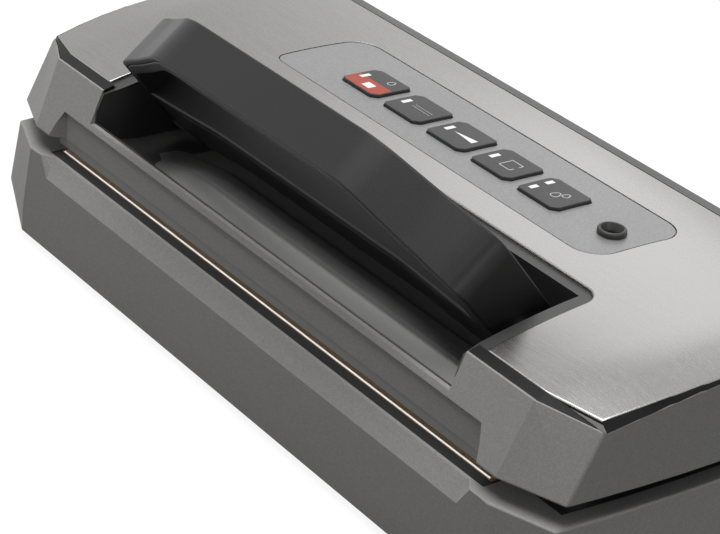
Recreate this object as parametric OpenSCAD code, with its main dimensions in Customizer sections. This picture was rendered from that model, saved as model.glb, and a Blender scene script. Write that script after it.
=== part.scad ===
// Countertop vacuum sealer with a hinged lid, a locking bail handle and five keys.
// Frame: +X to the right, +Y to the back, +Z up. The origin is the centre of the footprint.

/* [Base] */
// Width across the front corners of the base rim
base_w = 399.6; // [396:0.1:401]
// Front face of the base, measured back from the origin
base_front = 96; // [95.5:0.1:96.5]
// Back face of the base, measured back from the origin
base_back = 97; // [96:0.1:97.5]
// Height of the base rim above the table
base_h = 51.4; // [51:0.1:51.6]
// Height of the rubber feet
foot_h = 4; // [3:0.5:4]
// Wall of the plastic housings
wall = 2.6; // [2.2:0.1:3]

/* [Lid] */
// Underside of the lid
lid_z = 61.3; // [61.2:0.1:61.6]
// Highest point of the crowned lid
lid_top = 105.5; // [105:0.1:106]
// Radius of the crown from front to back
crown_r = 421; // [415:1:430]
// Where the crown is highest, behind the origin
crown_y = 19; // [15:1:22]
// Back face of the lid
lid_back = 99.2; // [98:0.1:100]
// How far the lid opens, in degrees
lid_open = 75; // [60:1:76]

/* [Handle] */
// Half width of the straight grip
grip_half = 67; // [60:1:70]
// Distance from the pivot to the outer face of the grip
grip_reach = 78.6; // [76:0.1:79]
// Thickness of the grip bar
grip_t = 9; // [7:0.5:10]
// Lean of the raised handle from upright, in degrees
handle_lean = 40; // [36:1:44]
// Pivot of the handle, behind the origin
pivot_y = -40; // [-42:0.5:-39]
// Pivot of the handle, above the table
pivot_z = 87; // [86:0.5:88]

/* [Keys] */
// Number of keys on the panel
key_n = 5; // [1:1:5]
// Distance between keys
key_pitch = 31.6; // [28:0.1:32]
// Key width and depth
key_size = [24.9, 22.1];
// Height of a key above the panel
key_rise = 1.3; // [0.8:0.1:1.6]

/* [Sealing] */
// From the front corner of the base to the end of the heating wire
wire_in = 40.1; // [39.8:0.1:50]
// From the front corner of the base to the end of the gasket ring
gasket_in = 27.8; // [27:0.1:40]

/* [Hidden] */

eps = 0.01;
far = 260;
half_w = base_w / 2;
// crown layers, measured down from the steel surface
plate_t = 1.2;
trim_t = 2.6;
trim_tuck = 1;
trim_thin = 1.1;
deck_d = 4;
// the end facets of the lid fall away outside a line that spreads towards the back
facet_fall = 6.8;
facet_yaw = 6.1;
kink_x = half_w - 26.3;
kink_y = -75;
rim_drop = 3.4;
// hinge
hinge_x = 151;
hinge_y = 91;
hinge_z = 56.2;
hinge_pin_r = 2;
// handle shaft
shaft_r = 3;
shaft_half = half_w - 11.8;
hook_x = half_w - 16.8;
// recess in the lid
tub_half = 131;
recess_half = tub_half + 7;
arm_x = tub_half - 7.5;
recess_back = -17.5;
tub_back = -22.7;
lip_y = -86.8;
lip_z = 77.5;
lip_half = half_w - 45.2;
tub_floor = 66.6;
tub_wall = 2.4;
// heating line and gaskets
wire_half = half_w - wire_in;
wire_y = -83.5;
gasket_half = half_w - gasket_in;
gasket_y = -52;
gasket_d = 44;
gasket_w = 8;
// keys: the right back tip of the last key
key_tip_x = 73.3;
key_tip_y = 34;
port_x = 100.3;
port_y = 21.9;
// pump
motor_x = 92;
motor_y = 52;
motor_z = 27;

// ---------- outlines ----------

// right half of an outline: front edge, corner facet, bowed side, rounded back corner
function half_outline(kx, fy, cx, cy, bow, back, r) = concat(
  [[kx, fy]],
  [for (i = [0:10]) let (t = i / 10) [cx + bow * 4 * t * (1 - t), cy + (back - r - cy) * t]],
  [for (a = [15:15:90]) [cx - r + r * cos(a), back - r + r * sin(a)]]);

function mirrored(half) = concat(half, [for (i = [len(half) - 1:-1:0]) [-half[i][0], half[i][1]]]);

function body_outline(kx, fy, cx, cy, bow, back, r = 10) =
  mirrored(half_outline(kx, fy, cx, cy, bow, back, r));

// the body widens from its rim to a line low down, then tucks in to the bottom
function base_rim(i = 0) = body_outline(half_w - 28.4 - i / 2, -base_front + i, half_w - i,
  -85.6 + i, 3.8, base_back - i);
function base_wide(i = 0) = body_outline(half_w - 24.8 - i / 2, -base_front - 1 + i, half_w + 4.2 - i,
  -87.6 + i, 4, base_back + 2 - i);
function base_low(i = 0) = body_outline(half_w - 22.8 - i / 2, -base_front + i, half_w - 10.8 - i,
  -88 + i, 3.5, base_back - 2 - i);

// the lid's front leans back as it rises: outline at height z, pulled in by i, front by f
function lid_outline(z, i = 0, f = 0) = let (h = z - lid_z) body_outline(
  half_w - 28.2 + h * 0.074 - i / 2, -93.4 + h * 0.397 + i + f, half_w + 0.4 + h * 0.004 - i,
  -82.5 + h * 0.44 + i + f, 4.6, lid_back - i);

// edge of the steel plate
function plate_outline(i = 0) = body_outline(kink_x - i / 2, -74.9 + i, half_w - 2.4 - i,
  -68.2 + i, 7, 84 - i);

// height of the crowned top at a point
function crown(y) = lid_top - crown_r + sqrt(crown_r * crown_r - (y - crown_y) * (y - crown_y));
function kink(y) = kink_x + (y - kink_y) * tan(facet_yaw);
function top(x, y) = crown(y) - max(0, abs(x) - kink(y)) * tan(facet_fall);

// height of the outer rim: level with the crown in front, lower round the corners and sides
function rim_share(p) = min(1, max(0, (abs(p[0]) - half_w + 23.8) / 20, (p[1] - 60) / 25));
function rim_z(p) = top(p[0], p[1]) - rim_drop * rim_share(p);

// ---------- helpers ----------

module slice(points, z) {
  translate([0, 0, z]) linear_extrude(eps) polygon(points);
}

module slab(points, z0, z1) {
  translate([0, 0, z0]) linear_extrude(z1 - z0) polygon(points);
}

module both_sides() {
  children();
  mirror([1, 0, 0]) children();
}

// box from low corner to high corner
module box(a, b) {
  translate(a) cube(b - a);
}

module rod_x(x0, x1, y, z, r) {
  translate([x0, y, z]) rotate([0, 90, 0]) cylinder(h = x1 - x0, r = r, $fn = 48);
}

// a profile drawn in the YZ plane and stretched along X
module along_x(x0, x1) {
  translate([x0, 0, 0]) rotate([90, 0, 90]) linear_extrude(x1 - x0) children();
}

module rounded(w, d, r) {
  square([w - 2 * r, d], center = true);
  square([w, d - 2 * r], center = true);
  for (sx = [-1, 1]) {
    for (sy = [-1, 1]) translate([sx * (w / 2 - r), sy * (d / 2 - r)]) circle(r, $fn = 48);
  }
}

module hull_of(points) {
  hull() for (p = points) translate(p) cube(eps, center = true);
}

// rings of points joined into one closed solid, lowest ring first
module loft(rings) {
  n = len(rings[0]);
  m = len(rings);
  polyhedron(
    points = [for (ring = rings) each ring],
    faces = concat(
      [[for (i = [0:n - 1]) i]],
      [for (k = [0:m - 2]) for (i = [0:n - 1]) let (a = k * n + i, b = k * n + (i + 1) % n) [a, a + n, b]],
      [for (k = [0:m - 2]) for (i = [0:n - 1]) let (a = k * n + i, b = k * n + (i + 1) % n) [b, a + n, b + n]],
      [[for (i = [n - 1:-1:0]) (m - 1) * n + i]]));
}

// tube along a list of points, for hoses
module hose(path, r) {
  n = 8;
  m = len(path);
  dirs = [for (i = [0:m - 1]) let (d = path[min(i + 1, m - 1)] - path[max(i - 1, 0)]) d / norm(d)];
  rings = [for (i = [0:m - 1]) let (
      s = cross(dirs[i], [0.1, 0.2, 1]),
      u = s / norm(s),
      v = cross(dirs[i], u))
    [for (k = [0:n - 1]) path[i] + r * (cos(-360 * k / n) * u + sin(-360 * k / n) * v)]];
  loft(rings);
}

// ---------- lid envelope ----------

// everything below the crowned surface, lowered by d
module under_crown(d = 0) {
  r = crown_r - d;
  intersection() {
    rod_crown(r);
    translate([kink_x, kink_y, crown(kink_y)]) rotate([0, 0, -facet_yaw])
      rotate([0, facet_fall, 0]) rotate([0, 0, facet_yaw])
        translate([-kink_x, -kink_y, -crown(kink_y)]) rod_crown(r);
    mirror([1, 0, 0]) translate([kink_x, kink_y, crown(kink_y)]) rotate([0, 0, -facet_yaw])
      rotate([0, facet_fall, 0]) rotate([0, 0, facet_yaw])
        translate([-kink_x, -kink_y, -crown(kink_y)]) rod_crown(r);
  }
}

module rod_crown(r) {
  translate([-far, crown_y, lid_top - crown_r]) rotate([0, 90, 0])
    cylinder(h = 2 * far, r = r, $fn = 480);
}

// outer body of the lid: leaning walls, then the sloped rim up to the edge of the plate
module lid_body(i = 0, f = 0) {
  low = lid_outline(lid_z, i, f);
  rim = lid_outline(92, i, f);
  edge = plate_outline(i);
  loft([
    [for (p = low) [p[0], p[1], lid_z - (i > 0 ? 1 : 0)]],
    [for (p = rim) [p[0], p[1], rim_z(p)]],
    [for (p = edge) [p[0], p[1], top(p[0], p[1]) + 0.02]],
    [for (p = edge) [p[0], p[1], lid_top + 2]]]);
}

// everything under the trim: its bed runs from a little inside the edge of the plate out past the rim
module trim_bed(gap = 0) {
  low = lid_outline(lid_z, -6);
  out = lid_outline(92, -3);
  edge = plate_outline();
  inner = plate_outline(trim_tuck + 2 * gap);
  loft([
    [for (p = low) [p[0], p[1], lid_z - 2]],
    [for (p = out) [p[0], p[1], rim_z(p) - trim_t + trim_thin * rim_share(p) - gap]],
    [for (p = edge) [p[0], p[1], top(p[0], p[1]) - trim_t - gap]],
    [for (p = inner) [p[0], p[1], top(p[0], p[1]) - trim_t - gap]],
    [for (p = inner) [p[0], p[1], lid_top + 2]]]);
}

// the body of the lid lowered by d, for the inside that follows it from below
module lowered_body(d, i = 0, f = 0) {
  translate([0, 0, -d]) lid_body(i, f);
}

module recess_shape(g = 0) {
  half = recess_half + g;
  translate([0, (recess_back + g - 110) / 2]) rounded(2 * half, recess_back + g + 110, 8);
}

module crown_layer(d0, d1) {
  difference() {
    under_crown(d0);
    under_crown(d1);
  }
}

module key_shape(g = 0) {
  w = key_size[0] + 2 * g;
  d = key_size[1] + 2 * g;
  c = 3;
  e = 1.2;
  translate([-w / 2, -d / 2]) polygon([
    [e, 0], [w - c, 0], [w, c], [w, d - e], [w - e, d], [c, d], [0, d - c], [0, e]]);
}

function key_x(k) = key_tip_x - 11 - (key_n - k) * key_pitch;
key_y = key_tip_y - 10.7;

module panel_shape(g = 0) {
  hull() {
    translate([-106, 5]) circle(6 + g, $fn = 32);
    translate([101, 12]) circle(13.5 + g, $fn = 32);
    translate([101, 40]) circle(13.5 + g, $fn = 32);
    translate([-100, 41]) circle(12.5 + g, $fn = 32);
  }
}

// ---------- base ----------

tray_in = 8;
ledge_in = 11;
ledge_z = 48.2;
flange_z = 46;
tray_front = -75.7;
bar_half = wire_half + 2.8;
bar_y = [-90, -77.8];
bar_z = [40.2, 51.2];
cover_t = 2.4;
// screw bosses, each with the end of the rib that ties it to the wall
boss_spots = [[half_w - 19.8, -81], [half_w - 13.8, 2], [half_w - 18.8, 80], [70, 88], [100, -82]];
boss_ribs = [[half_w - 19.8, -92], [half_w - 2, 2], [half_w - 4, 80], [70, 95], [100, -94]];
foot_x = half_w - 34.8;
foot_y = 75;
inlet = [-140, 28];
slot_half = 3.5;
hook_slot = [-70, -14.5];
switch_x = half_w - 21.8;
switch_y = 60;
trough_half = gasket_half - 12;
catch_r = 43.2;
catch_angle = 20.5;
hose_port_x = 120;

module base_body(i = 0, low = foot_h, high = base_h) {
  hull() {
    slice(base_rim(i), high - eps);
    slice(base_wide(i), 19);
    slice(base_low(i), low);
  }
}

module base_shell() {
  color("#4c4d50") difference() {
    base_body();
    difference() {
      base_body(wall, foot_h - 1, flange_z);
      box([-bar_half - 3.5, -110, 37], [bar_half + 3.5, -75, 60]);
      base_bosses(4.2);
      base_ribs();
    }
    // opening for the chamber tray, with a ledge it rests on
    intersection() {
      slab(base_rim(ledge_in), 40, 60);
      box([-far, tray_front, 40], [far, far, 60]);
    }
    intersection() {
      slab(base_rim(tray_in), ledge_z, 60);
      box([-far, tray_front - 0.2, ledge_z], [far, far, 60]);
    }
    // seat of the sealing bar
    box([-bar_half - 0.2, bar_y[0] - 0.1, bar_z[0]], [bar_half + 0.2, bar_y[1] + 0.1, 60]);
    front_bevel();
    // opening for the power inlet
    box([inlet[0] - 12.2, 80, inlet[1] - 10.2], [inlet[0] + 12.2, 110, inlet[1] + 10.2]);
    base_bosses(1.5);
  }
}

// chamfer in the front top edge, with slanted ends
module front_bevel() {
  hull_of([for (sx = [-1, 1]) for (p = [[lip_half + 0.7, -91, base_h], [lip_half + 7, -96, base_h],
    [lip_half + 1, -97.6, 39.4], [lip_half + 9.4, -98, base_h + 1], [lip_half + 0.7, -91, base_h + 1]])
    [sx * p[0], p[1], p[2]]]);
}

module base_bosses(r) {
  both_sides() for (p = boss_spots) translate([p[0], p[1], foot_h + cover_t])
    cylinder(h = flange_z - foot_h - cover_t + (r < 4 ? -4 : 2), r = r, $fn = 32);
}

module base_ribs() {
  both_sides() for (k = [0:len(boss_spots) - 1]) {
    low = [min(boss_spots[k][0], boss_ribs[k][0]) - 1, min(boss_spots[k][1], boss_ribs[k][1]) - 1];
    high = [max(boss_spots[k][0], boss_ribs[k][0]) + 1, max(boss_spots[k][1], boss_ribs[k][1]) + 1];
    box([low[0], low[1], 12], [high[0], high[1], flange_z + 1]);
  }
}

module bottom_cover() {
  color("#2b2b2d") difference() {
    slab(base_low(wall + 0.2), foot_h, foot_h + cover_t);
    both_sides() for (p = boss_spots) translate([p[0], p[1], foot_h - 1]) {
      cylinder(h = 10, r = 1.7, $fn = 32);
      cylinder(h = 2.6, r = 3.3, $fn = 32);
    }
    for (sx = [-1, 1]) for (sy = [-1, 1]) translate([sx * foot_x, sy * foot_y, 0])
      cylinder(h = 20, r = 2.85, $fn = 32);
    // cooling slots
    for (i = [0:11]) translate([60 + i * 8, 30, 0]) linear_extrude(20) rounded(3, 36, 1.4);
  }
}

module foot(x, y) {
  color("#161616") translate([x, y, 0]) {
    rotate_extrude($fn = 64) polygon([[0, 0], [8, 0], [9.5, foot_h], [0, foot_h]]);
    translate([0, 0, foot_h]) cylinder(h = cover_t + 0.6, r = 2.85, $fn = 32);
    translate([0, 0, foot_h + cover_t]) cylinder(h = 1.6, r = 3.8, $fn = 32);
  }
}

module screw(x, y, z, length, head = 3) {
  translate([x, y, z]) {
    cylinder(h = 1.5, r = head, $fn = 32);
    cylinder(h = length, r = 1.5, $fn = 32);
  }
}

module bottom_screws() {
  color("#b8b8bc") both_sides() for (p = boss_spots) screw(p[0], p[1], foot_h + 0.1, 16);
}

module ring(half, d, w) {
  difference() {
    rounded(2 * half, d, d / 2 - eps);
    rounded(2 * (half - w), d - 2 * w, d / 2 - w - eps);
  }
}

module chamber_tray() {
  trough_d = gasket_d - 2 * gasket_w - 6;
  color("#1b1b1c") difference() {
    union() {
      intersection() {
        slab(base_rim(tray_in + 0.2), ledge_z, ledge_z + 2.2);
        box([-far, tray_front, 40], [far, far, 60]);
      }
      translate([0, gasket_y, 37.6]) linear_extrude(11) rounded(2 * trough_half + 4, trough_d + 4, 9);
      translate([hose_port_x, gasket_y, 32]) cylinder(h = 7, r = 3, $fn = 32);
    }
    translate([0, gasket_y, 39.6]) linear_extrude(20) rounded(2 * trough_half, trough_d, 7);
    translate([hose_port_x, gasket_y, 30]) cylinder(h = 12, r = 1.5, $fn = 32);
    both_sides() box([hook_x - slot_half, hook_slot[0], 40], [hook_x + slot_half, hook_slot[1], 60]);
    translate([switch_x, switch_y, 40]) cylinder(h = 20, r = 2.5, $fn = 32);
  }
}

module lower_gasket() {
  color("#262626") translate([0, gasket_y, ledge_z + 2.2]) linear_extrude(6.1)
    ring(gasket_half, gasket_d, gasket_w);
}

module seal_bar() {
  color("#1f1f21") box([-bar_half, bar_y[0], bar_z[0]], [bar_half, bar_y[1], bar_z[1]]);
}

module release_tape() {
  color("#7a5a35") box([-wire_half - 1.5, wire_y - 1.1, bar_z[1]],
    [wire_half + 1.5, wire_y + 4.1, bar_z[1] + 0.25]);
}

module heating_wire() {
  color("#d8d4cc") box([-wire_half, wire_y - 0.7, bar_z[1] + 0.25],
    [wire_half, wire_y + 0.7, bar_z[1] + 0.75]);
}

module pump_motor() {
  color("#9a9ca0") {
    rod_x(motor_x, motor_x + 52, motor_y, motor_z, 17);
    rod_x(motor_x - 12, motor_x, motor_y, motor_z, 1.5);
  }
}

module pump_frame() {
  color("#3a3a3d") difference() {
    box([motor_x - 22, motor_y - 18, foot_h + cover_t], [motor_x, motor_y + 18, motor_z + 18]);
    rod_x(motor_x - 30, motor_x - 3, motor_y, motor_z, 15);
    rod_x(motor_x - 30, motor_x + 1, motor_y, motor_z, 4);
  }
}

module pump_crank() {
  color("#c9a227") difference() {
    union() {
      rod_x(motor_x - 11, motor_x - 5, motor_y, motor_z, 10);
      rod_x(motor_x - 17, motor_x - 11, motor_y, motor_z + 5, 2);
    }
    rod_x(motor_x - 14, motor_x - 4, motor_y, motor_z, 1.55);
  }
}

module pump_head() {
  color("#2d2f33") translate([motor_x - 11, motor_y - 18, motor_z]) rotate([90, 0, 0]) {
    cylinder(h = 16, r = 15, $fn = 64);
    cylinder(h = 24, r = 3, $fn = 32);
  }
}

vacuum_path = [[81, 10, 27], [81, 0, 27], [84, -12, 25.5], [94, -26, 23.5], [106, -38, 22.8],
  [115, -46.5, 23.6], [119.2, -51, 25.6], [120, -52, 28.4], [120, -52, 31.9]];

module vacuum_hose() {
  color("#e6e2da") hose(vacuum_path, 3.5);
}

module release_valve() {
  color("#8d9096") {
    box([138, -8, foot_h + cover_t], [160, 24, 15]);
    translate([149, 24, 21]) rotate([90, 0, 0]) cylinder(h = 32, r = 9, $fn = 48);
  }
}

module pressure_switch() {
  color("#303236") {
    box([14, -30, foot_h + cover_t], [38, -8, 20]);
    translate([26, -19, 20]) cylinder(h = 8, r = 3, $fn = 32);
  }
}

module transformer() {
  color("#6b6660") {
    box([23.8 - half_w, 20, foot_h + cover_t], [-116, 66, 42]);
    box([-166, 12, 12], [-126, 20, 38]);
    box([-166, 66, 12], [-126, 71, 38]);
  }
}

module power_board() {
  color("#2f6b45") {
    box([-90, 14, 12], [34, 82, 13.6]);
    for (x = [-84, 28]) for (y = [20, 76]) translate([x, y, foot_h + cover_t])
      cylinder(h = 12 - foot_h - cover_t, r = 3, $fn = 32);
    for (i = [0:2]) translate([-70 + i * 20, 66, 13.6]) cylinder(h = 22, r = 8, $fn = 48);
    box([-20, 24, 13.6], [20, 30, 38]);
    box([-78, 24, 13.6], [-40, 46, 22]);
  }
}

module lid_switch() {
  color("#222326") difference() {
    box([switch_x - 7, switch_y - 9, 34], [switch_x + 7, switch_y + 9, ledge_z]);
    translate([switch_x, switch_y, 37]) cylinder(h = 20, r = 2.4, $fn = 32);
  }
}

module switch_plunger() {
  color("#c8352b") translate([switch_x, switch_y, 40.5])
    cylinder(h = lid_z - 0.3 - 40.5, r = 2, $fn = 32);
}

module power_inlet() {
  color("#141415") translate([inlet[0], 0, inlet[1]]) {
    difference() {
      box([-12, 74, -10], [12, 97.4, 10]);
      translate([0, 98, 0]) rotate([90, 0, 0]) linear_extrude(15) rounded(18, 10, 4.9);
    }
    for (sx = [-1, 1]) translate([sx * 4.3, 94, 0]) rotate([90, 0, 0])
      cylinder(h = 12, r = 1.2, $fn = 32);
  }
}

function catch_at() = [pivot_y + catch_r * sin(catch_angle), pivot_z - catch_r * cos(catch_angle)];

module lock_catch() {
  c = catch_at();
  color("#a5a7ab") {
    rod_x(hook_x - 5.5, hook_x + 5.5, c[0], c[1], 1.5);
    for (sx = [-1, 1]) translate([hook_x + sx * 4.75, c[0], (40 + ledge_z) / 2])
      cube([1.5, 8, ledge_z - 40], center = true);
  }
}

module hinge_bracket() {
  color("#232325") difference() {
    translate([hinge_x, 0, 0]) {
      for (sx = [-1, 1]) translate([sx * 7.4, 0, 0]) {
        rod_x(-2.2, 2.2, hinge_y, hinge_z, 4.5);
        box([-2.2, hinge_y - 9, base_h], [2.2, hinge_y + 4.5, hinge_z]);
      }
      box([-9.6, hinge_y - 9, base_h], [9.6, hinge_y - 5.4, base_h + 3]);
    }
    rod_x(hinge_x - 12, hinge_x + 12, hinge_y, hinge_z, hinge_pin_r);
  }
}

module hinge_pin() {
  color("#bfc1c4") rod_x(hinge_x - 10, hinge_x + 10, hinge_y, hinge_z, hinge_pin_r);
}

module hinge_arm() {
  color("#232325") difference() {
    translate([hinge_x, 0, 0]) {
      rod_x(-4.9, 4.9, hinge_y, hinge_z, 4.2);
      box([-4.9, hinge_y - 4.2, hinge_z], [4.9, hinge_y + 4.2, lid_z]);
    }
    rod_x(hinge_x - 12, hinge_x + 12, hinge_y, hinge_z, hinge_pin_r + 0.05);
  }
}

// ---------- lid ----------

lid_boss_spots = [[half_w - 8.8, 12], [half_w - 11.8, 78], [96, 84], [30, -8], [half_w - 13.8, -66]];
liner_t = 2.4;
board = [[-96, 0], [84, 48]];
board_z = 90;

module lid_frame() {
  color("#5d5e61") difference() {
    intersection() {
      lid_body();
      under_crown(0.01);
    }
    // pocket of the trim: open at the top and sides, behind a thin wall in front
    difference() {
      translate([0, 0, 0.3]) lid_body(-0.3, 1.3);
      trim_bed(0.05);
    }
    // pocket of the plate
    difference() {
      slab(plate_outline(-0.2), 80, 130);
      under_crown(plate_t + 0.05);
    }
    // inside of the lid
    difference() {
      intersection() {
        lowered_body(trim_t + 1.6, wall, -1.6);
        under_crown(deck_d);
      }
      box([-bar_half - 0.5, -110, 40], [bar_half + 0.5, lip_y + 2.2, 120]);
      lid_posts();
    }
    recess_cut();
    lip_notch();
    for (k = [1:key_n]) translate([key_x(k), key_y, 80]) linear_extrude(40) key_shape(0.4);
    translate([port_x, port_y, 80]) cylinder(h = 40, r = 5.3, $fn = 48);
    lid_boss_holes();
  }
}

module lid_posts() {
  both_sides() for (p = lid_boss_spots) translate([p[0], p[1], lid_z + liner_t])
    cylinder(h = 60, r = 3.6, $fn = 32);
  for (x = [board[0][0] + 4, board[1][0] - 4]) for (y = [board[0][1] + 4, board[1][1] - 4])
    translate([x, y, board_z + 1.6]) cylinder(h = 30, r = 3, $fn = 32);
}

module lid_boss_holes() {
  both_sides() for (p = lid_boss_spots) translate([p[0], p[1], lid_z - 1])
    cylinder(h = 16, r = 1.5, $fn = 32);
}

module recess_cut() {
  box([-tub_half - tub_wall - 0.2, lip_y + 2.2, 40],
    [tub_half + tub_wall + 0.2, tub_back + tub_wall + 0.2, 130]);
  box([-tub_half - tub_wall, -110, lip_z], [tub_half + tub_wall, -60, 130]);
  difference() {
    translate([0, 0, 80]) linear_extrude(50) recess_shape(0);
    under_crown(deck_d);
    box([-far, -110, 70], [far, -77.8, 130]);
  }
}

// the lower front of the lid is cut back to an upright lip face, with slanted ends
module lip_notch() {
  hull_of([for (sx = [-1, 1]) for (p = [[lip_half, lip_y, 77.9], [lip_half + 6, -93.8, lid_z - 0.5],
    [lip_half + 0.4, lip_y, lid_z - 0.5], [lip_half + 0.4, -95, lid_z - 0.5]]) [sx * p[0], p[1], p[2]]]);
}

module trim_frame() {
  color("#151516") difference() {
    lid_body(0, 1.1);
    trim_bed();
    difference() {
      slab(plate_outline(-0.05), 80, 130);
      under_crown(plate_t + 0.05);
    }
    box([-tub_half - tub_wall - 0.3, -110, 60], [tub_half + tub_wall + 0.3, -40, 130]);
  }
}

module cover_plate() {
  color("#cfcfd0") difference() {
    intersection() {
      slab(plate_outline(0.1), 80, 120);
      under_crown(0);
    }
    under_crown(plate_t);
    translate([0, 0, 70]) linear_extrude(60) recess_shape(0.2);
    translate([0, 0, 70]) linear_extrude(60) panel_shape(0.2);
  }
}

// floor of the recess: a concave front trough running into the deep part
trough = [[-83.6, lip_z + 0.2], [-82.4, 75.4], [-80, 72.4], [-77, 70.2], [-73, 68.4], [-68, 67.2],
  [-62, tub_floor], [tub_back, tub_floor], [tub_back, 130], [-120, 130], [-120, lip_z + 0.2]];

module recess_tub() {
  color("#141415") difference() {
    union() {
      intersection() {
        box([-tub_half - tub_wall, lip_y + 2.3, tub_floor - 2], [tub_half + tub_wall, tub_back + tub_wall, 130]);
        under_crown(1.5);
        lid_body(0, 0.4);
      }
      difference() {
        translate([0, 0, 80]) linear_extrude(50) recess_shape(-0.2);
        under_crown(deck_d - 0.05);
        box([-far, -110, 70], [far, -74.7, 130]);
      }
    }
    difference() {
      translate([0, 0, 80]) linear_extrude(50) recess_shape(2);
      under_crown(1.5);
    }
    intersection() {
      along_x(-140, 140) polygon(trough);
      linear_extrude(200) polygon([[-tub_half - 1.6, -120], [tub_half + 1.6, -120],
        [tub_half + 1.6, -84], [tub_half, -72], [tub_half, tub_back], [-tub_half, tub_back],
        [-tub_half, -72], [-tub_half - 1.6, -84]]);
    }
    rod_x(-150, 150, pivot_y, pivot_z, shaft_r + 0.4);
  }
}

module lid_liner() {
  color("#1c1c1d") difference() {
    slab(lid_outline(lid_z, wall + 0.4, 1.6), lid_z, lid_z + liner_t);
    box([-bar_half - 0.7, -110, 40], [bar_half + 0.7, lip_y + 2.3, 80]);
    both_sides() {
      box([hook_x - slot_half, -63, 50], [hook_x + slot_half, -26, 70]);
      for (p = lid_boss_spots) translate([p[0], p[1], 50]) cylinder(h = 30, r = 1.7, $fn = 32);
    }
    translate([150, gasket_y, 50]) cylinder(h = 30, r = 1.5, $fn = 32);
  }
  color("#1c1c1d") translate([150, gasket_y, lid_z + liner_t]) difference() {
    cylinder(h = 6, r = 3, $fn = 32);
    translate([0, 0, -1]) cylinder(h = 9, r = 1.5, $fn = 32);
  }
}

module liner_screws() {
  color("#b8b8bc") both_sides() for (p = lid_boss_spots) screw(p[0], p[1], lid_z - 1.5, 15);
}

module upper_gasket() {
  color("#262626") translate([0, gasket_y, ledge_z + 8.6]) linear_extrude(lid_z - ledge_z - 8.6)
    ring(gasket_half, gasket_d, gasket_w);
}

module pressure_strip() {
  color("#3c3c3e") box([-wire_half - 1.3, wire_y - 2.6, 56.2],
    [wire_half + 1.3, wire_y + 4.5, lid_z]);
}

module control_panel() {
  color("#9fa0a2") difference() {
    translate([0, 0, 80]) linear_extrude(50) panel_shape();
    difference() {
      translate([0, 0, 79]) linear_extrude(60) panel_shape(2);
      rod_crown(crown_r - 0.1);
    }
    rod_crown(crown_r - plate_t);
    for (k = [1:key_n]) translate([key_x(k), key_y, 80]) linear_extrude(50) key_shape(0.35);
    translate([port_x, port_y, 80]) cylinder(h = 50, r = 5.2, $fn = 48);
  }
}

module key(k) {
  color("#6d6e70") translate([key_x(k), key_y, 0]) {
    intersection() {
      translate([0, 0, 90]) linear_extrude(40) key_shape();
      translate([-key_x(k), -key_y, 0]) rod_crown(crown_r + key_rise);
      translate([-50, -50, crown(key_y) - 5.6]) cube([100, 100, 40]);
    }
    translate([0, 0, crown(key_y) - 5.6]) linear_extrude(1) key_shape(1.4);
    translate([0, 0, 94.5]) cylinder(h = 6, r = 2.5, $fn = 32);
  }
}

module key_board() {
  color("#2f6b45") {
    box([board[0][0], board[0][1], board_z], [board[1][0], board[1][1], board_z + 1.6]);
    for (k = [1:key_n]) translate([key_x(k), key_y, board_z + 1.6]) cylinder(h = 1.9, r = 3, $fn = 32);
  }
}

module port_fitting() {
  color("#4a4b46") translate([port_x, port_y, 0]) rotate_extrude($fn = 64) polygon([
    [1.5, 86], [3, 86], [3, 92], [5.1, 92], [5.1, 105.6], [6.4, 105.6], [6.4, 107.2],
    [5.8, 107.9], [5, 107.9], [3.4, 104.5], [3.4, 100], [1.5, 99]]);
}

accessory_path = [[100.3, 21.9, 85.9], [100.3, 21.9, 82], [101.6, 20.4, 78.4], [106, 14.5, 76],
  [114, 5.5, 75.4], [126, -5, 75.6], [138, -18, 76], [146, -32, 76.6], [149.2, -44, 76.8],
  [149.9, -50, 75.8], [150, -52, 73.2], [150, -52, 69.8]];

module accessory_hose() {
  color("#e6e2da") hose(accessory_path, 3.5);
}

module shaft_block() {
  color("#3a3a3d") difference() {
    box([tub_half + 3.2, pivot_y - 7, lid_z + liner_t], [tub_half + 12.5, pivot_y + 7, pivot_z + 7]);
    rod_x(tub_half - 1, tub_half + 19, pivot_y, pivot_z, shaft_r + 0.05);
  }
}

// ---------- handle ----------

module in_handle() {
  translate([0, pivot_y, pivot_z]) rotate([handle_lean, 0, 0]) children();
}

// outline of the bail seen square to the grip: X across, Y out from the pivot
bail_outer = mirrored([[arm_x - 5.5, -9], [arm_x, -2], [arm_x, 11.5], [arm_x - 0.7, 28],
  [arm_x - 1, 40], [arm_x - 3.5, 46], [arm_x - 10.5, 50.8], [arm_x - 27.5, 60.3],
  [grip_half, grip_reach]]);
bail_inner = mirrored([[arm_x - 5.8, 21.2], [arm_x - 7.1, 28], [arm_x - 8.5, 34.5],
  [arm_x - 11.1, 39.5], [arm_x - 17, 43.6], [arm_x - 32.5, 52.3],
  [grip_half - 3, grip_reach - grip_t]]);
// the bail seen along its height: slightly wider at the arms
bail_plan = mirrored([[grip_half, -11.3], [arm_x - 3.5, -14.4], [arm_x + 0.1, -13],
  [arm_x + 0.1, 13.4], [grip_half, 12.4]]);
outer_t = 3.2;

module bail_slice() {
  intersection() {
    translate([0, 20, 0]) rotate([90, 0, 0]) linear_extrude(40) children();
    translate([0, 0, -20]) linear_extrude(120) polygon(bail_plan);
  }
}

module handle_outer_shell() {
  color("#39393a") in_handle() bail_slice() intersection() {
    difference() {
      polygon(bail_outer);
      offset(delta = -outer_t) polygon(bail_outer);
    }
    translate([-200, 4]) square([400, 200]);
  }
}

module handle_inner_shell() {
  color("#323233") in_handle() bail_slice() intersection() {
    difference() {
      offset(delta = -outer_t - 0.1) polygon(bail_outer);
      polygon(bail_inner);
    }
    translate([-200, 17.8]) square([400, 200]);
  }
}

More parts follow.
